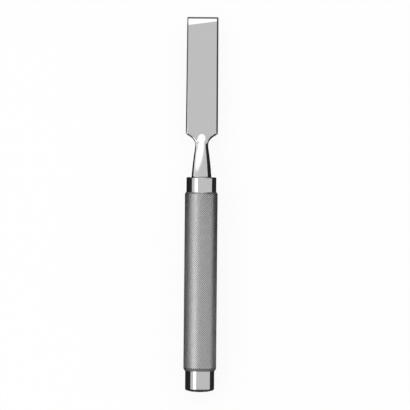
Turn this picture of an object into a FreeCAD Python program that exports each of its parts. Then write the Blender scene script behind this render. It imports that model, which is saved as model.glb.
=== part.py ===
import FreeCAD, Part
import math
import os

# Osteotome: a bone chisel with a double bevel, forged, turned and ground from one bar of stainless steel.
# All sizes are in millimetres. Stations are distances from the cutting edge along the tool.
# The tool lies on its grip: +Y points to the cutting edge, +Z is up, and the broad face of the blade faces up.

# Blade: a slender wedge, bevelled on both faces at its end.
width_at_edge = 20.0
width_at_shoulders = 20.5
blade_length = 74.7
thickness_at_bevel = 1.6
thickness_at_shoulders = 4.2
edge_land = 0.08
bevel_length = 3.9
bevel_skew = 1.1
cutting_corner_radius = 0.6
blade_edge_radius = 0.5

# Shoulders: the blade narrows into a tongue that ends inside the neck.
shoulder_angle = 57.5
shoulder_corner_radius = 0.8
shoulder_fillet_radius = 8.0
tongue_width = 6.6

# Neck: a round taper whose bullet-shaped nose runs out on both faces of the blade.
waist_diameter = 8.0
waist_from_shoulders = 7.5
nose_length = 8.3
nose_blend_radius = 1.2
neck_root_diameter = 12.7
neck_bulge = 0.13
neck_length = 27.8
neck_root_fillet = 0.4

# Handle: a front collar, the land that carries the knurl, and a striking head, all turned on one axis.
collar_diameter = 19.1
collar_length = 9.5
collar_edge_radius = 0.6
grip_diameter = 21.0
grip_length = 114.5
grip_front_bevel = 0.7
grip_front_bevel_length = 1.3
grip_rear_bevel = 1.1
grip_rear_bevel_length = 2.0
grip_corner_radius = 1.2
head_diameter = 18.6
head_length = 13.5
head_edge_radius = 1.2
dome_height = 1.5

# Stations along the tool, from the cutting edge to the top of the striking dome.
waist_station = blade_length + waist_from_shoulders
nose_station = waist_station - nose_length
collar_station = blade_length + neck_length
grip_station = collar_station + collar_length
head_station = grip_station + grip_length
overall_length = head_station + head_length
dome_station = overall_length - dome_height

# The tongue ends halfway down the neck, where the neck has grown round it.
tongue_station = (waist_station + collar_station) / 2

# The grip is the widest part, so its radius is the height of the axis above the table.
axis_height = grip_diameter / 2


def at(station, side=0.0, height=0.0):
    """A point from its station, its distance to the right of the axis and its height above the axis."""
    return FreeCAD.Vector(side, overall_length / 2 - station, axis_height + height)


def station_of(shape):
    """The station of a shape's centre."""
    return overall_length / 2 - shape.CenterOfMass.y


def rounded_chain(corners):
    """Edges along corners given as (station, side, radius), each inner corner rounded by its radius."""
    points = [at(station, side) for station, side, radius in corners]
    edges = []
    start = points[0]
    for before, corner, after, (_, _, radius) in zip(points, points[1:], points[2:], corners[1:]):
        back = (before - corner).normalize()
        onward = (after - corner).normalize()
        half_angle = back.getAngle(onward) / 2
        arc_start = corner + back * (radius / math.tan(half_angle))
        arc_end = corner + onward * (radius / math.tan(half_angle))
        middle_distance = radius / math.sin(half_angle) - radius
        arc_middle = corner + (back + onward).normalize() * middle_distance
        edges.append(Part.makeLine(start, arc_start))
        edges.append(Part.Arc(arc_start, arc_middle, arc_end).toShape())
        start = arc_end
    edges.append(Part.makeLine(start, points[-1]))
    return edges


def blade_plan():
    """The blade's outline seen from above, as a prism thick enough for every section."""
    edge_half = width_at_edge / 2
    shoulder_half = width_at_shoulders / 2
    tongue_half = tongue_width / 2
    shoulder_run = (shoulder_half - tongue_half) / math.tan(math.radians(shoulder_angle))
    right_side = [
        (0, 0, 0),
        (0, edge_half, cutting_corner_radius),
        (blade_length, shoulder_half, shoulder_corner_radius),
        (blade_length + shoulder_run, tongue_half, shoulder_fillet_radius),
        (tongue_station, tongue_half, 0),
    ]
    right_edges = rounded_chain(right_side)
    left_edges = [edge.mirror(at(0), FreeCAD.Vector(1, 0, 0)) for edge in right_edges]
    tongue_end = Part.makeLine(at(tongue_station, tongue_half), at(tongue_station, -tongue_half))
    outline = Part.Wire(Part.__sortEdges__(right_edges + left_edges + [tongue_end]))
    prism = Part.Face(outline).extrude(FreeCAD.Vector(0, 0, 2 * thickness_at_shoulders))
    prism.translate(FreeCAD.Vector(0, 0, -thickness_at_shoulders))
    return prism


def half_thickness(station):
    """Half the thickness of the wedge between its two broad faces."""
    slope = (thickness_at_shoulders - thickness_at_bevel) / 2 / (blade_length - bevel_length)
    return thickness_at_bevel / 2 + slope * (station - bevel_length)


def wedge_section(side):
    """The plain wedge, cut along the tool at a distance to the right of the axis."""
    front = half_thickness(0)
    back = half_thickness(tongue_station)
    corners = [at(0, side, -front), at(0, side, front)]
    corners += [at(tongue_station, side, back), at(tongue_station, side, -back)]
    return Part.makePolygon(corners + corners[:1])


def bevel_section(side):
    """The bevelled wedge, cut the same way. Seen from either face, the bevel is longer on the left."""
    lean = 2 * side / width_at_shoulders
    upper_end = bevel_length - lean * bevel_skew
    lower_end = bevel_length + lean * bevel_skew
    bevel_slope = (thickness_at_bevel - edge_land) / 2 / bevel_length
    face_slope = half_thickness(1) - half_thickness(0)
    edge_height = lean * bevel_skew * (bevel_slope - face_slope)
    back = half_thickness(tongue_station)
    corners = [
        at(0, side, edge_height - edge_land / 2),
        at(0, side, edge_height + edge_land / 2),
        at(upper_end, side, half_thickness(upper_end)),
        at(tongue_station, side, back),
        at(tongue_station, side, -back),
        at(lower_end, side, -half_thickness(lower_end)),
    ]
    return Part.makePolygon(corners + corners[:1])


def across_blade(section):
    """A solid ruled straight from the section at the blade's left side to the one at its right."""
    half_width = width_at_shoulders / 2
    return Part.makeLoft([section(-half_width), section(half_width)], True, True)


def make_blade():
    """Cut the outline from the wedge, round its long edges on both faces, then grind the two bevels."""
    blank = blade_plan().common(across_blade(wedge_section)).Solids[0]
    ends = (0, tongue_station)
    long_edges = []
    for face in blank.Faces:
        if abs(face.normalAt(0, 0).z) > 0.9:
            long_edges += [edge for edge in face.Edges if ends[0] < round(station_of(edge), 3) < ends[1]]
    blank = blank.makeFillet(blade_edge_radius, long_edges)
    return blank.common(across_blade(bevel_section)).Solids[0]


def make_turning():
    """The neck and handle: one profile turned about the tool's axis."""
    waist = waist_diameter / 2
    neck_root = neck_root_diameter / 2
    collar = collar_diameter / 2
    grip = grip_diameter / 2
    head = head_diameter / 2
    nose = Part.Ellipse(at(nose_station), at(waist_station, waist), at(waist_station)).toShape(0, math.pi / 2)
    flare_middle = at((waist_station + collar_station) / 2, (waist + neck_root) / 2 + neck_bulge)
    flare = Part.Arc(at(waist_station, waist), flare_middle, at(collar_station, neck_root)).toShape()
    handle = Part.makePolygon([
        at(collar_station, neck_root),
        at(collar_station, collar),
        at(grip_station, collar),
        at(grip_station, grip - grip_front_bevel),
        at(grip_station + grip_front_bevel_length, grip),
        at(head_station - grip_rear_bevel_length, grip),
        at(head_station, grip - grip_rear_bevel),
        at(head_station, head),
        at(dome_station, head),
    ])
    sphere_radius = (head ** 2 + dome_height ** 2) / (2 * dome_height)
    half_angle = math.asin(head / sphere_radius) / 2
    dome_drop = sphere_radius * (1 - math.cos(half_angle))
    dome_middle = at(overall_length - dome_drop, sphere_radius * math.sin(half_angle))
    dome = Part.Arc(at(dome_station, head), dome_middle, at(overall_length)).toShape()
    axis = Part.makeLine(at(overall_length), at(nose_station))
    profile = Part.Face(Part.Wire([nose, flare] + handle.Edges + [dome, axis]))
    return profile.revolve(at(0), FreeCAD.Vector(0, 1, 0), 360)


def rings(solid, station, diameter):
    """The circular edges of a turned solid that have this station and diameter."""
    found = []
    for edge in solid.Edges:
        if not edge.Degenerated and isinstance(edge.Curve, Part.Circle):
            station_gap = abs(edge.Curve.Center.y - at(station).y)
            radius_gap = abs(edge.Curve.Radius - diameter / 2)
            if max(station_gap, radius_gap) < 0.001:
                found.append(edge)
    return found


def round_handle(solid):
    """Fill the corner at the root of the neck and round the outer edges of the handle."""
    solid = solid.makeFillet(neck_root_fillet, rings(solid, collar_station, neck_root_diameter))
    solid = solid.makeFillet(collar_edge_radius, rings(solid, collar_station, collar_diameter))
    grip_corners = rings(solid, grip_station + grip_front_bevel_length, grip_diameter)
    grip_corners += rings(solid, head_station - grip_rear_bevel_length, grip_diameter)
    solid = solid.makeFillet(grip_corner_radius, grip_corners)
    return solid.makeFillet(head_edge_radius, rings(solid, dome_station, head_diameter))


def nose_outlines(solid):
    """The two curves along which the nose of the neck meets the broad faces of the blade."""
    found = []
    for edge in solid.Edges:
        if nose_station < station_of(edge) < waist_station:
            kinds = {type(face.Surface).__name__ for face in solid.ancestorsOfType(edge, Part.Face)}
            if kinds == {"Plane", "SurfaceOfRevolution"}:
                found.append(edge)
    return found


def make_osteotome():
    """Join the turned neck and handle to the blade, and blend the nose into both faces of the blade."""
    joined = round_handle(make_turning()).fuse(make_blade()).Solids[0]
    return joined.makeFillet(nose_blend_radius, nose_outlines(joined)).Solids[0]


osteotome = make_osteotome()
os.makedirs("parts", exist_ok=True)
osteotome.exportStep("parts/osteotome.step")
print("osteotome valid:", osteotome.isValid(), "faces:", len(osteotome.Faces))
print("overall length %.1f mm, volume %.0f mm3" % (overall_length, osteotome.Volume))
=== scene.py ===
# %% [markdown]
# # An osteotome in polished and knurled steel
# An osteotome is a bone chisel: a flat blade bevelled on both faces, a round neck, and a handle that is
# struck with a mallet. This one is a single bar of stainless steel that was forged, turned and ground, so
# it is modelled as one closed skin. The skin is a row of rings from the cutting edge to the striking
# dome. Rings are the natural choice, because every section of the tool is either a flat plate or a circle.

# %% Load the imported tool
import math

import bmesh
import bpy
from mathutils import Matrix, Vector


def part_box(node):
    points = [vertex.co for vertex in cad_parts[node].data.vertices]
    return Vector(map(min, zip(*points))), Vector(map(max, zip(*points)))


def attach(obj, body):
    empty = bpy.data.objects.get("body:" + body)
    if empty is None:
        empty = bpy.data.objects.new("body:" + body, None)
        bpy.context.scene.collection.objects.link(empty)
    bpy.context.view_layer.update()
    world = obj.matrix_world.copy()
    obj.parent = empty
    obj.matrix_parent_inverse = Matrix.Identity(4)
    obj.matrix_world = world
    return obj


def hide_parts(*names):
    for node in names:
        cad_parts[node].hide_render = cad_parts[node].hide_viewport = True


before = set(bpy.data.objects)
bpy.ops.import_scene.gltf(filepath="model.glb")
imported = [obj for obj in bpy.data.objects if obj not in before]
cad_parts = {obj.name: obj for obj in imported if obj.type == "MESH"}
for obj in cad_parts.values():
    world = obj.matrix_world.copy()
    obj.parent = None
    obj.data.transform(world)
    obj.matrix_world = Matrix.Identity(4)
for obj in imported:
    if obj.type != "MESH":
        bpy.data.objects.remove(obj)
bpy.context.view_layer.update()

low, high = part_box("osteotome")
tip_y = high.y
overall_length = high.y - low.y
axis_height = (low.z + high.z) / 2
print("tool: %.1f mm long, axis %.2f mm above the floor" % (overall_length * 1000, axis_height * 1000))

# %% [markdown]
# ## The camera
# The tool is seen square from above with its cutting edge up, so the camera hangs over it and looks
# straight down. A long lens from three metres keeps the two ends of the tool from leaning. The frame is
# 410 pixels square, and the tool is 375 of them long, which gives the size of a pixel. The tool stands
# half a degree off upright in the frame, and the camera's roll makes up for that.

# %% Hang the camera
frame_pixels = 410
tool_pixels = 375.2
tool_centre_pixel = (201.2, 204.7)
tool_lean = math.radians(0.52)
camera_distance = 3.0
sensor_width = 36.0

pixel = overall_length / tool_pixels
camera_data = bpy.data.cameras.new("camera")
camera_data.sensor_width = sensor_width
camera_data.lens = sensor_width * camera_distance / (pixel * frame_pixels)
camera = bpy.data.objects.new("camera", camera_data)
right = (frame_pixels / 2 - tool_centre_pixel[0]) * pixel
up = (tool_centre_pixel[1] - frame_pixels / 2) * pixel
camera.location = (right, up, axis_height + camera_distance)
camera.rotation_euler = (0, 0, tool_lean)
bpy.context.collection.objects.link(camera)
bpy.context.scene.camera = camera
bpy.context.scene.view_settings.view_transform = "Standard"
print("one pixel is %.3f mm" % (pixel * 1000))

# %% [markdown]
# ## The sizes of the forging
# All sizes are lengths on the real tool, in millimetres. A station is a distance from the cutting edge
# along the tool. The blade's long edges were rounded on a soft wheel, so their section is part of an
# ellipse: as wide as the edge's ease, and as high as the roundness, a share of the half thickness.

# %% Name the sizes
MM = 0.001
width_at_edge = 20.0 * MM
width_at_shoulders = 20.5 * MM
blade_length = 74.7 * MM
thickness_at_bevel = 1.6 * MM
thickness_at_shoulders = 4.2 * MM
edge_land = 0.08 * MM
bevel_length = 3.9 * MM
bevel_skew = 1.4 * MM
cutting_corner_radius = 0.6 * MM
blade_edge_roundness = 0.62
blade_edge_ease = 1.5 * MM
shoulder_angle = math.radians(56.0)
shoulder_corner_radius = 0.8 * MM
shoulder_fillet_radius = 7.0 * MM
tongue_width = 7.8 * MM
waist_diameter = 8.0 * MM
waist_from_shoulders = 7.5 * MM
nose_length = 7.9 * MM
nose_fullness = 4
nose_blend = 0.8 * MM
neck_root_diameter = 12.7 * MM
neck_bulge = 0.26 * MM
neck_length = 27.8 * MM
neck_root_fillet = 0.4 * MM
collar_diameter = 19.1 * MM
collar_length = 9.5 * MM
collar_edge_radius = 0.6 * MM
grip_diameter = 2 * axis_height
grip_length = 114.5 * MM
grip_front_bevel = 0.7 * MM
grip_front_bevel_length = 1.3 * MM
grip_rear_bevel = 1.1 * MM
grip_rear_bevel_length = 2.0 * MM
head_diameter = 18.6 * MM
head_edge_radius = 1.2 * MM
dome_height = 1.5 * MM

waist_station = blade_length + waist_from_shoulders
nose_station = waist_station - nose_length
collar_station = blade_length + neck_length
grip_station = collar_station + collar_length
head_station = grip_station + grip_length
dome_station = overall_length - dome_height
print("stations: neck %.1f, grip %.1f, head %.1f mm" % tuple(
    1000 * station for station in (blade_length, grip_station, head_station)))

# %% [markdown]
# ## The blade's outline
# A ring needs to know how wide the plate is at its station. The outline is a chain of corners with a radius
# each, as a toolmaker would draw it, and the rings read their width from it. Corners with radii are easy to
# correct one at a time, where a drawn curve would have to be bent by eye.

# %% Draw a chain of rounded corners
def rounded(corners, steps=8):
    """Points (station, side) along corners given as (station, side, radius), with each corner an arc."""
    points = [corners[0][:2]]
    for before, corner, after in zip(corners, corners[1:], corners[2:]):
        tip = Vector(corner[:2])
        back = (Vector(before[:2]) - tip).normalized()
        onward = (Vector(after[:2]) - tip).normalized()
        half_angle = back.angle(onward) / 2
        centre = tip + (back + onward).normalized() * corner[2] / math.sin(half_angle)
        start = tip + back * corner[2] / math.tan(half_angle) - centre
        turn = math.pi - 2 * half_angle
        if back.x * onward.y - back.y * onward.x > 0:
            turn = -turn
        for step in range(steps + 1):
            angle = turn * step / steps
            x = start.x * math.cos(angle) - start.y * math.sin(angle)
            y = start.x * math.sin(angle) + start.y * math.cos(angle)
            points.append((centre.x + x, centre.y + y))
    points.append(corners[-1][:2])
    return points


def along(points, station):
    """The side of a chain of points at a station, read between its neighbours."""
    for (start, side), (end, next_side) in zip(points, points[1:]):
        if station <= end:
            share = (station - start) / max(end - start, 1e-9)
            return side + (next_side - side) * min(max(share, 0), 1)
    return points[-1][1]


tongue_run = (width_at_shoulders - tongue_width) / 2 / math.tan(shoulder_angle)
outline = rounded([
    (0, 0, 0),
    (0, width_at_edge / 2, cutting_corner_radius),
    (blade_length, width_at_shoulders / 2, shoulder_corner_radius),
    (blade_length + tongue_run, tongue_width / 2, shoulder_fillet_radius),
    (collar_station, tongue_width / 2, 0),
], steps=24)[1:]
middle_width = 2 * along(outline, blade_length / 2)
print("the outline has", len(outline), "points, and is %.1f mm wide halfway" % (middle_width / MM))

# %% [markdown]
# ## The plate and the neck
# Two shapes meet at the waist: a thin wedge, and a round neck that runs out on both its faces as a
# bullet-shaped nose. Each is a rule that gives a half thickness or a radius at a station. The neck's taper
# runs on into the nose without a change of slope, because a mirror finish shows any kink.

# %% Measure the sections
def clamp(value):
    return min(max(value, 0.0), 1.0)


def smooth_step(value):
    value = clamp(value)
    return value * value * (3 - 2 * value)


def half_thickness(station):
    slope = (thickness_at_shoulders - thickness_at_bevel) / 2 / (blade_length - bevel_length)
    return thickness_at_bevel / 2 + slope * (station - bevel_length)


def neck_radius(station):
    """The radius of the neck: a slightly bulged taper that runs on past the waist into a rounded nose."""
    if station <= nose_station:
        return 0.0
    share = (station - waist_station) / (collar_station - waist_station)
    taper = (neck_root_diameter - waist_diameter) / 2 * share + 4 * neck_bulge * share * (1 - abs(share))
    rounding = math.sqrt(1 - min((station - waist_station) / nose_length, 0) ** nose_fullness)
    return (waist_diameter / 2 + taper) * rounding


def smooth_maximum(first, second, blend):
    overlap = max(blend - abs(first - second), 0) / blend
    return max(first, second) + overlap * overlap * blend / 4


bevel_slope = (thickness_at_bevel - edge_land) / 2 / bevel_length
face_slope = half_thickness(1) - half_thickness(0)
bevel_twist = 2 * bevel_skew * (bevel_slope - face_slope) / width_at_shoulders
print("bevel angle %.1f degrees on each face" % math.degrees(math.atan(bevel_slope)))

# %% [markdown]
# ## A ring round the blade
# All rings have 192 points, so neighbours join with plain quads. The points of a blade ring lie on the
# plate's upper face, its rounded edges and its sides. Where the neck is thicker than the plate, the
# points are pushed straight out onto the neck's circle. A smooth maximum does this, so the crease round
# the nose of the neck comes out blended, as it is on the ground steel. The two bevels slant a little, and
# the rings near the edge slant with them, so that the bevel's line lies on one ring and stays crisp.
# Behind the waist the plate sinks into the neck, and the points even out into those of a circle.

# %% Place the points of one blade ring
ring_points = 192
face_points = 32
corner_points = 8
side_points = 8
probe = 0.05 * MM
bevel_slant_end = 12 * MM
tongue_sink = 0.4
tongue_sink_length = 5 * MM
evening_start = 4 * MM
evening_length = 12 * MM


def plate_point(count, side, face, station):
    """Where a point lies on the bevelled plate. count runs from 0 on the middle line to 48 on the side."""
    half_width = along(outline, station)
    slant = (along(outline, station + probe) - along(outline, station - probe)) / (2 * probe)
    thickness = half_thickness(station)
    radius = blade_edge_roundness * thickness
    inset = min(blade_edge_ease * math.hypot(1, slant), half_width / 2)

    def bevel(x, which):
        return edge_land / 2 + bevel_slope * station + which * bevel_twist * x

    if count <= face_points:
        share = count / face_points
        x = side * (half_width - inset) * (0.5 * share + 0.5 * share ** 3)
        return x, face * min(thickness, bevel(x, face))
    if count <= face_points + corner_points:
        angle = math.pi / 2 * (count - face_points) / corner_points
        x = side * (half_width - inset + inset * math.sin(angle))
        return x, face * min(thickness - radius + radius * math.cos(angle), bevel(x, face))
    x = side * half_width
    top = min(thickness - radius, bevel(x, 1))
    bottom = -min(thickness - radius, bevel(x, -1))
    share = face * (face_points + corner_points + side_points - count) / side_points
    return x, (top + bottom) / 2 + share * (top - bottom) / 2


def blade_ring(nominal):
    """The points of one ring, as (station, side, height above the axis)."""
    quarter = ring_points // 4
    ring = []
    for index in range(ring_points):
        side = 1 if index <= 2 * quarter else -1
        half_turn = index if side > 0 else ring_points - index
        face = 1 if half_turn <= quarter else -1
        count = half_turn if face > 0 else 2 * quarter - half_turn
        tilt = face
        if count > face_points + corner_points:
            tilt = face * (quarter - count) / side_points
        lean = 2 * plate_point(count, side, face, nominal)[0] / width_at_shoulders
        shift = -tilt * lean * bevel_skew
        if nominal <= bevel_length:
            station = nominal * (1 + shift / bevel_length)
        else:
            station = nominal + shift * clamp(1 - (nominal - bevel_length) / bevel_slant_end)
        x, z = plate_point(count, side, face, station)
        sunk = tongue_sink * smooth_step((station - waist_station) / tongue_sink_length)
        distance = math.hypot(x, z) * (1 - sunk)
        neck = neck_radius(station)
        pushed = smooth_maximum(distance, neck, nose_blend) if neck > 0 else distance
        angle = math.atan2(x, z)
        even_angle = 2 * math.pi * index / ring_points
        if even_angle > math.pi:
            even_angle -= 2 * math.pi
        if index != ring_points // 2:
            evened = smooth_step((station - waist_station - evening_start) / evening_length)
            angle += (even_angle - angle) * evened
        ring.append((station, pushed * math.sin(angle), pushed * math.cos(angle)))
    return ring


sample = blade_ring(blade_length / 2)
print("a ring halfway along the blade is %.2f mm thick" % (2 * max(point[2] for point in sample) / MM))

# %% [markdown]
# ## Where the rings stand
# Rings cost triangles, so they stand close together only where the shape turns fast: at the cutting edge,
# at the shoulders and round the nose. Along the flat blade a ring every three millimetres is enough.

# %% Space the rings
def spread(start, end, step):
    """Stations from start up to, but not including, end, a step or a little less apart."""
    count = max(1, math.ceil((end - start) / step - 1e-6))
    return [start + (end - start) * index / count for index in range(count)]


bevel_shares = (0, 0.01, 0.03, 0.06, 0.1, 0.15, 0.25, 0.4, 0.6, 0.8, 0.94, 1.0, 1.04)
blade_stations = [bevel_length * share for share in bevel_shares]
zones = [
    (1.2 * bevel_length, 3 * MM),
    (blade_length - 1.2 * MM, 0.08 * MM),
    (blade_length + 0.4 * MM, 0.19 * MM),
    (waist_station, 0.35 * MM),
    (waist_station + 5 * MM, 0.8 * MM),
    (collar_station - 1 * MM, None),
]
for (start, step), (end, _) in zip(zones, zones[1:]):
    blade_stations += spread(start, end, step)
blade_rings = [blade_ring(station) for station in blade_stations]
crease_ring = bevel_shares.index(1.0)
print(len(blade_rings), "rings on the blade and neck")

# %% [markdown]
# ## The turned parts
# The collar and the head came off a lathe, so their rings are circles along a profile. A short extra
# step next to each rounded corner keeps the long cylinders from shading as if they were curved.

# %% Turn the collar and the head
def circle(station, radius):
    angles = [2 * math.pi * index / ring_points for index in range(ring_points)]
    return [(station, radius * math.sin(angle), radius * math.cos(angle)) for angle in angles]


def supported(profile, gap=0.12 * MM):
    """The same profile, with an extra point just inside both ends of each long straight run."""
    points = [profile[0]]
    for start, end in zip(profile, profile[1:]):
        start, end = Vector(start), Vector(end)
        length = (end - start).length
        if length > 6 * gap:
            points += [start.lerp(end, gap / length), start.lerp(end, 1 - gap / length)]
        points.append(end)
    return points


neck_end = collar_station - 0.9 * MM
front_profile = supported(rounded([
    (neck_end, neck_radius(neck_end), 0),
    (collar_station, neck_root_diameter / 2, neck_root_fillet),
    (collar_station, collar_diameter / 2, collar_edge_radius),
    (grip_station, collar_diameter / 2, 0),
]))
front_rings = [circle(*point) for point in front_profile]

head_radius = head_diameter / 2
dome_radius = (head_radius ** 2 + dome_height ** 2) / (2 * dome_height)


def dome_point(radius):
    return overall_length - dome_radius + math.sqrt(dome_radius ** 2 - radius ** 2), radius


dome_shares = (0.78, 0.66, 0.54, 0.42, 0.31, 0.2, 0.1, 0.03)
head_profile = supported(rounded([
    (head_station, head_radius, 0),
    (dome_station, head_radius, head_edge_radius),
    (*dome_point(0.84 * head_radius), 0),
]))
head_profile += [dome_point(share * head_radius) for share in dome_shares]
head_rings = [circle(*point) for point in head_profile]
print(len(front_rings), "rings on the collar,", len(head_rings), "on the head")

# %% [markdown]
# ## Sockets that read like numbers
# Geometry Nodes and materials both need arithmetic. Written as nodes it is long and hard to read, so one
# small class wraps a socket and adds a Math node for each Python operator. Every other node comes from
# one method, which takes its type, its settings and its inputs.

# %% Wrap a socket
class Wire:
    """An output socket that adds a Math node to its tree wherever it is used in arithmetic."""

    def __init__(self, tree, socket):
        self.tree = tree
        self.socket = socket

    def __add__(self, other):
        return self.tree.maths("ADD", self, other)

    def __sub__(self, other):
        return self.tree.maths("SUBTRACT", self, other)

    def __rsub__(self, other):
        return self.tree.maths("SUBTRACT", other, self)

    def __mul__(self, other):
        return self.tree.maths("MULTIPLY", self, other)

    def __truediv__(self, other):
        return self.tree.maths("DIVIDE", self, other)

    def __pow__(self, other):
        return self.tree.maths("POWER", self, other)

    __radd__ = __add__
    __rmul__ = __mul__


class Tree:
    """A node tree that makes each of its nodes in one line."""

    def __init__(self, nodes_owner):
        self.tree = nodes_owner

    def node(self, kind, settings=None, inputs=None):
        """Make a node, set it up, connect or fill its inputs, and return all its outputs as wires."""
        made = self.tree.nodes.new(kind)
        for name, value in (settings or {}).items():
            setattr(made, name, value)
        for key, value in (inputs or {}).items():
            if isinstance(value, Wire):
                self.tree.links.new(value.socket, made.inputs[key])
            else:
                made.inputs[key].default_value = value
        return [Wire(self, socket) for socket in made.outputs]

    def maths(self, operation, *values):
        inputs = dict(enumerate(values))
        return self.node("ShaderNodeMath", {"operation": operation}, inputs)[0]

    def ramp(self, value, start, end, low=0.0, high=1.0):
        """A smooth rise from low to high, as the value goes from start to end."""
        inputs = {"Value": value, "From Min": start, "From Max": end, "To Min": low, "To Max": high}
        return self.node("ShaderNodeMapRange", {"interpolation_type": "SMOOTHSTEP"}, inputs)[0]


# %% [markdown]
# ## The knurl
# The grip is cut with a fine diamond knurl: two sets of crossing grooves at 45 degrees, 48 of each. What
# is left between them is a field of small blunt pyramids. A grid with four points to a pitch holds this
# pattern: counting along both of its diagonals, every fourth line is a groove, and the point farthest from
# all grooves is a crest. The points between move outwards from their crest, which makes the crests broad
# and the grooves narrow. Geometry Nodes suit such a rule: they roll the grid into a tube and sink the
# grooves, with sines and cosines telling the points apart. Each quad is then split along its longer
# diagonal, which keeps the crests flat and the grooves clean. Bevels at both ends run the knurl out.

# %% Build the knurling tree
knurl_starts = 48
points_to_pitch = ring_points // knurl_starts
knurl_pitch = math.pi * grip_diameter / knurl_starts
groove_depth = 0.18 * MM
crest_dome = 0.025 * MM
crest_spread = 0.5
bevel_curve = 1.3
weld_distance = 0.005 * MM
knurl_inputs = {
    "Diameter": ("NodeSocketFloat", grip_diameter),
    "Length": ("NodeSocketFloat", grip_length),
    "Front Y": ("NodeSocketFloat", tip_y - grip_station),
    "Axis Height": ("NodeSocketFloat", axis_height),
    "Starts": ("NodeSocketInt", knurl_starts),
    "Pitches": ("NodeSocketInt", round(grip_length / knurl_pitch)),
    "Groove Depth": ("NodeSocketFloat", groove_depth),
    "Crest Dome": ("NodeSocketFloat", crest_dome),
    "Crest Spread": ("NodeSocketFloat", crest_spread),
    "Front Bevel": ("NodeSocketFloat", grip_front_bevel),
    "Front Bevel Length": ("NodeSocketFloat", grip_front_bevel_length),
    "Rear Bevel": ("NodeSocketFloat", grip_rear_bevel),
    "Rear Bevel Length": ("NodeSocketFloat", grip_rear_bevel_length),
    "Steel": ("NodeSocketMaterial", None),
}


def knurling_tree():
    group = bpy.data.node_groups.new("knurling", "GeometryNodeTree")
    for name, (kind, default) in knurl_inputs.items():
        socket = group.interface.new_socket(name, in_out="INPUT", socket_type=kind)
        if default is not None:
            socket.default_value = default
    group.interface.new_socket("Geometry", in_out="OUTPUT", socket_type="NodeSocketGeometry")
    tree = Tree(group)
    wires = dict(zip(knurl_inputs, tree.node("NodeGroupInput")))
    columns = wires["Starts"] * points_to_pitch
    rows = wires["Pitches"] * points_to_pitch
    grid = tree.node("GeometryNodeMeshGrid", inputs={
        "Size X": columns, "Size Y": rows, "Vertices X": columns + 1, "Vertices Y": rows + 1})[0]
    position = tree.node("GeometryNodeInputPosition")[0]
    x, y, _ = tree.node("ShaderNodeSeparateXYZ", inputs={"Vector": position})
    column = tree.maths("ROUND", x + columns / 2)
    row = tree.maths("ROUND", y + rows / 2)
    from_front = row / rows * wires["Length"]
    from_rear = wires["Length"] - from_front
    front = tree.maths("MAXIMUM", 1 - from_front / wires["Front Bevel Length"], 0)
    rear = tree.maths("MAXIMUM", 1 - from_rear / wires["Rear Bevel Length"], 0)
    cut_away = wires["Front Bevel"] * front ** bevel_curve + wires["Rear Bevel"] * rear ** bevel_curve
    crest = wires["Diameter"] / 2 - cut_away
    quarter_turn = math.pi / 2
    one_way = tree.maths("SINE", (column + row) * quarter_turn)
    other_way = tree.maths("SINE", (column - row) * quarter_turn)
    on_flank = one_way * one_way
    one_crest = tree.maths("COSINE", (column + row) * quarter_turn)
    other_crest = tree.maths("COSINE", (column - row) * quarter_turn)
    in_groove = (1 - tree.maths("MINIMUM", one_crest, other_crest)) / 2 * (1 - on_flank)
    pitch = wires["Length"] / wires["Pitches"]
    fade = tree.maths("MINIMUM", tree.maths("MINIMUM", from_front, from_rear) / pitch * 2, 1)
    radius = crest - (in_groove * wires["Groove Depth"] + on_flank * wires["Crest Dome"]) * fade
    spread_out = wires["Crest Spread"] / 2 * fade
    angle = (column + (one_way + other_way) * spread_out) / columns * (2 * math.pi)
    along_grip = from_front + (one_way - other_way) * spread_out * wires["Length"] / rows
    rolled = tree.node("ShaderNodeCombineXYZ", inputs={
        "X": radius * tree.maths("SINE", angle),
        "Y": wires["Front Y"] - along_grip,
        "Z": wires["Axis Height"] + radius * tree.maths("COSINE", angle)})[0]
    tube = tree.node("GeometryNodeSetPosition", inputs={"Geometry": grid, "Position": rolled})[0]
    closed = tree.node("GeometryNodeMergeByDistance", inputs={
        "Geometry": tube, "Distance": weld_distance})[0]
    split = tree.node("GeometryNodeTriangulate", {"quad_method": "LONGEST_DIAGONAL"}, {"Mesh": closed})[0]
    real = tree.node("GeometryNodeRealizeInstances", inputs={"Geometry": split})[0]
    painted = tree.node("GeometryNodeSetMaterial", inputs={
        "Geometry": real, "Material": wires["Steel"]})[0]
    tree.node("NodeGroupOutput", inputs={"Geometry": painted})
    return group


def grow_knurl(steel):
    """Run the tree on an empty object and keep the result as a plain mesh."""
    holder = bpy.data.objects.new("knurl_holder", bpy.data.meshes.new("knurl_holder"))
    bpy.context.collection.objects.link(holder)
    modifier = holder.modifiers.new("knurling", "NODES")
    modifier.node_group = knurling_tree()
    for item in modifier.node_group.interface.items_tree:
        if item.in_out == "INPUT":
            value = steel if item.name == "Steel" else knurl_inputs[item.name][1]
            modifier[item.identifier] = value
    evaluated = holder.evaluated_get(bpy.context.evaluated_depsgraph_get())
    mesh = bpy.data.meshes.new_from_object(evaluated)
    holder.modifiers.clear()
    bpy.data.objects.remove(holder)
    print("the knurl has", len(mesh.polygons), "facets")
    return mesh

# %% [markdown]
# ## The steel finishes
# A finish is a small node tree: one metal shader, with its colour, its roughness and its bump led from
# patterns that follow the tool's own lengths. The helpers here start such a tree, close it, mix two
# colours and stretch a pattern along the tool. A grey is named once, with the faint blue of steel.

# %% Gather the helpers for materials
def new_material(name):
    material = bpy.data.materials.new(name)
    material.use_nodes = True
    material.node_tree.nodes.clear()
    return material, Tree(material.node_tree)


def finish_material(tree, constants, links):
    """Close a material with one shader: constants are set on it, and links vary over the surface."""
    shader = tree.node("ShaderNodeBsdfPrincipled", inputs={**constants, **links})[0]
    tree.node("ShaderNodeOutputMaterial", inputs={"Surface": shader})


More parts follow.
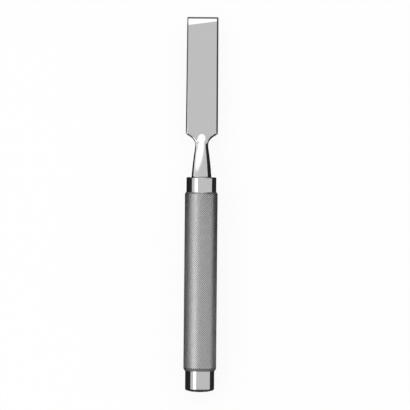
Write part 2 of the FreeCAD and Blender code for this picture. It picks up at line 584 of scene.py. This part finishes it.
def mixed(tree, factor, dark, light):
    """A colour between two others, by a factor from 0 to 1."""
    return tree.node("ShaderNodeMix", {"data_type": "RGBA"}, {0: factor, 6: dark, 7: light})[2]


def noise(tree, vector, scale, detail):
    inputs = {"Vector": vector, "Scale": scale, "Detail": detail}
    return tree.node("ShaderNodeTexNoise", inputs=inputs)[0]


def stretched(tree, vector, scale):
    return tree.node("ShaderNodeMapping", inputs={"Vector": vector, "Scale": scale})[0]


def bump(tree, height, strength, distance):
    inputs = {"Strength": strength, "Distance": distance, "Height": height}
    return tree.node("ShaderNodeBump", inputs=inputs)[0]


# %% [markdown]
# ## Satin, polish and painted edge shade
# The blade is ground along its length to a satin, with fine scratches along the tool. The neck, the collar
# and the head are polished on a wheel, which leaves fainter rings round them. A narrow strip round the
# blade's sides and along its cutting edge is painted dark, as painted shade on its rounded edges, a little
# wider on the right, away from the light. The corner between neck and collar is painted dark as well, as
# painted shade in that concave corner.

# %% Grind and polish the smooth steel
dark_steel = (0.64, 0.64, 0.645, 1)
light_steel = (0.67, 0.67, 0.675, 1)
# Painted shade: a dark colour for the blade's rounded edges, standing in for their shade.
edge_shade_color = (0.065, 0.065, 0.068, 1)
# Painted shade: the dark colour of the corner between neck and collar.
corner_shade_color = (0.12, 0.12, 0.122, 1)
wide_shade_band = (1.15 * MM, 0.9 * MM)
narrow_shade_band = (0.95 * MM, 0.7 * MM)
corner_shade_width = (0.55 * MM, 0.35 * MM)
faint = 0.85
edge_shade_end = tip_y - blade_length + 0.6 * MM
polish_start = tip_y - nose_station + 1 * MM
polish_full = tip_y - nose_station - 5 * MM
satin_roughness = 0.14
polish_gain = 0.05
roughness_play = 0.04
grain_along_tool = (9000, 90, 9000)
grain_round_tool = (60, 7000, 60)
turned_share = 0.1


def painted_edge_shade(tree, x, y):
    """How much painted edge shade a place gets: 1 on the strip round the blade, 0 inside it and behind the
    blade.
    """
    cutting_edge_shade = tree.ramp(tip_y - y, *wide_shade_band)
    flare = (width_at_shoulders - width_at_edge) / 2 / blade_length
    from_side = width_at_edge / 2 + flare * (tip_y - y) - tree.maths("ABSOLUTE", x)
    right_edge_shade = tree.ramp(from_side, *wide_shade_band)
    left_edge_shade = tree.ramp(from_side, *narrow_shade_band, high=faint)
    on_right = tree.maths("GREATER_THAN", x, 0.0)
    on_blade = tree.maths("GREATER_THAN", y, edge_shade_end)
    side_edge_shade = (right_edge_shade * on_right + left_edge_shade * (1 - on_right)) * on_blade
    return tree.maths("MAXIMUM", cutting_edge_shade, side_edge_shade)


def smooth_steel():
    """Satin on the blade and polish behind it, with painted shade along the blade's edges and in the corner
    at the collar. The satin ends where the nose of the neck begins.
    """
    material, tree = new_material("smooth_steel")
    place = tree.node("ShaderNodeTexCoord")[3]
    x, y, _ = tree.node("ShaderNodeSeparateXYZ", inputs={"Vector": place})
    polish = tree.ramp(y, polish_start, polish_full)
    ground = noise(tree, stretched(tree, place, grain_along_tool), 1.0, 3.0)
    turned = noise(tree, stretched(tree, place, grain_round_tool), 1.0, 2.0)
    cloud = noise(tree, place, 120.0, 3.0)
    marks = ground * (1 - polish) + turned * polish * turned_share
    unevenness = (cloud - 0.5) + (ground - 0.5) * (1 - polish)
    roughness = satin_roughness - polish_gain * polish + roughness_play * unevenness
    steel = mixed(tree, 0.5 + 0.6 * (cloud - 0.5), dark_steel, light_steel)
    # Painted shade along the blade's edges, wider on the right, away from the light.
    edge_shaded = mixed(tree, painted_edge_shade(tree, x, y), steel, edge_shade_color)
    # Painted shade in the concave corner between neck and collar.
    from_corner = tree.maths("ABSOLUTE", y - (tip_y - collar_station))
    color = mixed(tree, tree.ramp(from_corner, *corner_shade_width, high=faint), edge_shaded, corner_shade_color)
    scratches = bump(tree, marks, 0.05, 0.02 * MM)
    finish_material(
        tree, {"Metallic": 1.0}, {"Base Color": color, "Roughness": roughness, "Normal": scratches})
    return material


blade_finish = smooth_steel()
print("made", blade_finish.name, "with", len(blade_finish.node_tree.nodes), "nodes")

# %% [markdown]
# ## The knurl as cut
# No wheel reaches into a knurl. Its crests rub bright, its grooves stay dull and are painted dark as
# painted shade, and the bevels at its ends are a plain grey. The depth below the widest part of the grip,
# counted in groove depths, tells them apart: a crest lies at 0, a groove at 1, and a bevel deeper than any
# groove.

# %% Finish the knurled steel
# Painted shade: the dark colour of the knurl's grooves.
groove_shade_color = (0.10, 0.10, 0.102, 1)
crest_steel = (0.65, 0.65, 0.655, 1)
bevel_steel = (0.42, 0.42, 0.424, 1)
crest_depths = (0.55, 0.2)
bevel_depths = (1.05, 1.4)
groove_roughness = 0.48
crest_gain = 0.1
knurl_play = 0.1
edge_tint = (0.05, 0.05, 0.05, 1)


def knurled_steel():
    """The knurl as cut: bright on its crests, dull in its grooves with painted shade darkening them, and
    grey on its end bevels.
    """
    material, tree = new_material("knurled_steel")
    place = tree.node("ShaderNodeTexCoord")[3]
    x, _, z = tree.node("ShaderNodeSeparateXYZ", inputs={"Vector": place})
    height = z - axis_height
    depth = (grip_diameter / 2 - tree.maths("SQRT", x * x + height * height)) / groove_depth
    crest = tree.ramp(depth, *crest_depths)
    cloud = noise(tree, place, 350.0, 4.0)
    # Painted shade: the grooves are darkened in colour, as if in shade.
    cut = mixed(tree, crest, groove_shade_color, crest_steel)
    color = mixed(tree, tree.ramp(depth, *bevel_depths), cut, bevel_steel)
    roughness = groove_roughness - crest_gain * crest + knurl_play * (cloud - 0.5)
    pits = bump(tree, cloud, 0.15, 0.03 * MM)
    finish_material(
        tree, {"Metallic": 1.0, "Specular Tint": edge_tint},
        {"Base Color": color, "Roughness": roughness, "Normal": pits})
    return material


steel_finishes = [blade_finish, knurled_steel()]
print("finishes:", [material.name for material in steel_finishes])

# %% [markdown]
# ## One closed skin
# The rings are joined with quads, the knurl is welded in between the collar and the head, and both ends
# are closed. The knurl has 192 columns, four to each groove, which is why every ring has 192 points.

# %% Join everything into one mesh
def point_at(station, side, height):
    return Vector((side, tip_y - station, axis_height + height))


def join_rings(mesh, first, second):
    for index in range(len(first)):
        following = (index + 1) % len(first)
        mesh.faces.new((first[index], first[following], second[following], second[index]))


def knurl_end(mesh, y):
    """The knurl's points at one of its ends, in order round the axis from the top."""
    ends = [vertex for vertex in mesh.verts if abs(vertex.co.y - y) < 0.01 * MM]
    step = 2 * math.pi / ring_points
    return sorted(ends, key=lambda vertex: round(
        math.atan2(vertex.co.x, vertex.co.z - axis_height) / step) % ring_points)


def close_cutting_edge(mesh, ring):
    """The narrow land of the cutting edge, between the upper and the lower half of the first ring."""
    half = ring_points // 2
    quarter = half // 2
    for start in (0, half):
        direction = 1 if start == 0 else -1
        for step in range(quarter):
            above = ring[(direction * step) % ring_points]
            above_next = ring[(direction * (step + 1)) % ring_points]
            below = ring[(half - direction * step) % ring_points]
            below_next = ring[(half - direction * (step + 1)) % ring_points]
            if step + 1 == quarter:
                mesh.faces.new((above, above_next, below))
            else:
                mesh.faces.new((above, above_next, below_next, below))


def build_skin():
    mesh = bmesh.new()
    mesh.from_mesh(grow_knurl(steel_finishes[1]))
    for face in mesh.faces:
        face.material_index = 1
    knurl_front = knurl_end(mesh, tip_y - grip_station)
    knurl_rear = knurl_end(mesh, tip_y - head_station)
    front = [[mesh.verts.new(point_at(*point)) for point in ring] for ring in blade_rings + front_rings]
    rear = [[mesh.verts.new(point_at(*point)) for point in ring] for ring in head_rings]
    for group in (front, rear):
        for first, second in zip(group, group[1:]):
            join_rings(mesh, first, second)
    join_rings(mesh, front[-1], knurl_front)
    join_rings(mesh, knurl_rear, rear[0])
    close_cutting_edge(mesh, front[0])
    pole = mesh.verts.new(point_at(overall_length, 0, 0))
    for index in range(ring_points):
        mesh.faces.new((rear[-1][index], rear[-1][(index + 1) % ring_points], pole))
    bmesh.ops.recalc_face_normals(mesh, faces=mesh.faces)
    for face in mesh.faces:
        face.smooth = face.material_index == 0
    crease = front[crease_ring]
    creases = [(crease[index], crease[(index + 1) % ring_points]) for index in range(ring_points)]
    return mesh, creases


skin, creases = build_skin()
open_edges = [edge for edge in skin.edges if not edge.is_manifold]
print("skin:", len(skin.faces), "faces,", len(open_edges), "open edges")

# %% [markdown]
# ## Which edges stay crisp
# Smooth shading hides the rings, but a ground tool also has true edges. Every edge that turns sharply is
# marked as sharp. The line where a bevel meets the blade turns by only a few degrees, so it is marked by
# its ring. The skin then becomes one object, which takes the place of the plain tool.

# %% Turn the skin into the finished piece
sharp_turn = math.radians(35)
bevel_turn = math.radians(3)
for edge in skin.edges:
    if edge.calc_face_angle(0) > sharp_turn:
        edge.smooth = False
for first, second in creases:
    edge = skin.edges.get((first, second))
    if edge.calc_face_angle(0) > bevel_turn:
        edge.smooth = False
tool_mesh = bpy.data.meshes.new("osteotome_steel")
skin.to_mesh(tool_mesh)
skin.free()
for material in steel_finishes:
    tool_mesh.materials.append(material)
tool = bpy.data.objects.new("osteotome_steel", tool_mesh)
bpy.context.collection.objects.link(tool)
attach(tool, "root")
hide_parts("osteotome")
print("finished piece:", tool.name, "with", len(tool_mesh.polygons), "faces")

# %% [markdown]
# ## The table
# Polished steel has no tone of its own: it shows what stands round it. The tool lies on a white table.
# Where the camera or the steel looks at the table, most of what they see is its own even glow, so that it
# stays white in the picture and in the steel. To all other light it is plain paper.

# %% Lay the table
table_reach = 30.0
table_glow = 0.9
dark_paper = (0.93, 0.93, 0.93, 1)
light_paper = (0.95, 0.95, 0.95, 1)


def table_material():
    material, tree = new_material("white_table")
    place = tree.node("ShaderNodeTexCoord")[3]
    color = mixed(tree, noise(tree, place, 6.0, 3.0), dark_paper, light_paper)
    paper = tree.node("ShaderNodeBsdfDiffuse", inputs={"Color": color})[0]
    glow = tree.node("ShaderNodeEmission", inputs={"Color": (1, 1, 1, 1), "Strength": 1.0})[0]
    path = tree.node("ShaderNodeLightPath")
    seen = tree.maths("MAXIMUM", tree.maths("MAXIMUM", path[0], path[3]), path[6])
    both = tree.node("ShaderNodeMixShader", inputs={0: seen * table_glow, 1: paper, 2: glow})[0]
    tree.node("ShaderNodeOutputMaterial", inputs={"Surface": both})
    return material


def flat_sheet(name, corners, material):
    mesh = bpy.data.meshes.new(name)
    mesh.from_pydata(corners, [], [(0, 1, 2, 3)])
    mesh.materials.append(material)
    sheet = bpy.data.objects.new(name, mesh)
    bpy.context.collection.objects.link(sheet)
    return sheet


flat_sheet("table", [
    (-table_reach, -table_reach, 0), (table_reach, -table_reach, 0),
    (table_reach, table_reach, 0), (-table_reach, table_reach, 0)], table_material())
print("the table is %.0f m wide" % (2 * table_reach))

# %% [markdown]
# ## Black flags
# A photographer lays sheets of black cloth beside polished metal, so that its sides show dark lines
# against the white table. A round bar mirrors the table at its rim and the sky on its top, and a sheet
# that slopes up and away covers the band between them. The higher the sheet, the wider the dark line.
# Two upright sheets darken the slants of the shoulders, and one beyond the head darkens the dome's foot.
# The sheets are seen in the steel alone, and cast no shadow.

# %% Lay the flags beside the tool
flag_shade = (0.03, 0.03, 0.03, 1)
flag_corners_mm = {
    "head_flag_left": [(-4, -200, 0.2), (-4, -105, 0.2), (-75, -105, 33), (-75, -200, 33)],
    "grip_flag_left": [(-4, -105, 0.2), (-4, 7, 0.2), (-75, 7, 25), (-75, -105, 25)],
    "collar_flag_left": [(-4, 7, 0.2), (-4, 17.8, 0.2), (-75, 17.8, 33), (-75, 7, 33)],
    "neck_flag_left": [(-4, 17.8, 0.2), (-4, 50, 0.2), (-25, 50, 2.5), (-30, 17.8, 6)],
    "blade_flag_left": [(-4, 50, 0.2), (-4, 200, 0.2), (-75, 200, 33), (-75, 50, 33)],
    "handle_flag_right": [(4, -200, 0.2), (4, 200, 0.2), (75, 200, 18), (75, -200, 18)],
    "neck_flag_right": [(11, 19, 3), (11, 44, 3), (26, 44, 20), (26, 19, 20)],
    "shoulder_flag_right": [(9, 18.5, 0.5), (50, 18.5, 0.5), (50, 18.5, 55), (9, 18.5, 55)],
    "shoulder_flag_left": [(-9, 18.5, 0.5), (-50, 18.5, 0.5), (-50, 18.5, 28), (-9, 18.5, 28)],
    "end_flag": [(-60, -123, 1), (60, -123, 1), (60, -180, 25), (-60, -180, 25)],
}


def flag_material():
    material, tree = new_material("black_flag")
    cloth = tree.node("ShaderNodeBsdfDiffuse", inputs={"Color": flag_shade})[0]
    tree.node("ShaderNodeOutputMaterial", inputs={"Surface": cloth})
    return material


def lay_flag(name, corners_mm, material):
    corners = [tuple(length * MM for length in corner) for corner in corners_mm]
    flag = flat_sheet(name, corners, material)
    flag.visible_camera = False
    flag.visible_diffuse = False
    flag.visible_shadow = False
    flag.visible_transmission = False
    flag.visible_volume_scatter = False


black_flag = flag_material()
for name, corners_mm in flag_corners_mm.items():
    lay_flag(name, corners_mm, black_flag)
print("laid", len(flag_corners_mm), "flags")

# %% [markdown]
# ## The light
# One soft light hangs on the left, as a long box over a workbench would, and draws the white stripe along
# the tool. A round bar mirrors what lies at twice the slope of its surface, so the light's angle sets where
# the stripe runs, and its width sets how wide the stripe is.

# %% Hang the light
key_angle = math.radians(-40.5)
key_distance = 1.2
key_middle = -0.35
key_width = 0.48
key_length = 0.9
key_radiance = 1.6
key_data = bpy.data.lights.new("key", "AREA")
key_data.shape = "RECTANGLE"
key_data.size = key_width
key_data.size_y = key_length
key_data.energy = key_radiance * math.pi * key_width * key_length
key = bpy.data.objects.new("key", key_data)
key_height = axis_height + key_distance * math.cos(key_angle)
key.location = (key_distance * math.sin(key_angle), key_middle, key_height)
key.rotation_euler = (0, key_angle, 0)
key.visible_camera = False
bpy.context.collection.objects.link(key)
print("the light gives %.2f watts" % key_data.energy)

# %% [markdown]
# ## The sky
# An even pale sky gives the steel its grey. Its far part, past the cutting edge, is brighter and begins at
# a clean line, which whitens the bevel and the nose of the neck. The line leans a little, because the white
# on the nose does. Towards the near side the sky falls off, which darkens the foot of the dome. The camera
# itself sees plain white.

# %% Set the sky
sky_light = 0.78
backdrop_light = 1.55
backdrop_edge = 0.24
backdrop_softness = 0.005
backdrop_tilt = 0.10
rear_fall = 0.85
world = bpy.data.worlds.new("sky")
world.use_nodes = True
world.node_tree.nodes.clear()
sky = Tree(world.node_tree)
direction = sky.node("ShaderNodeTexCoord")[0]
x, y, _ = sky.node("ShaderNodeSeparateXYZ", inputs={"Vector": direction})
backdrop = sky.ramp(
    y - backdrop_tilt * x, backdrop_edge - backdrop_softness, backdrop_edge + backdrop_softness,
    high=backdrop_light - sky_light)
light = sky_light * (1 + rear_fall * sky.maths("MINIMUM", y, 0)) + backdrop
seen = sky.node("ShaderNodeLightPath")[0]
background = sky.node("ShaderNodeBackground", inputs={
    "Color": (1, 1, 1, 1), "Strength": light + (1 - light) * seen})[0]
sky.node("ShaderNodeOutputWorld", inputs={"Surface": background})
bpy.context.scene.world = world
print("the sky has", len(world.node_tree.nodes), "nodes")
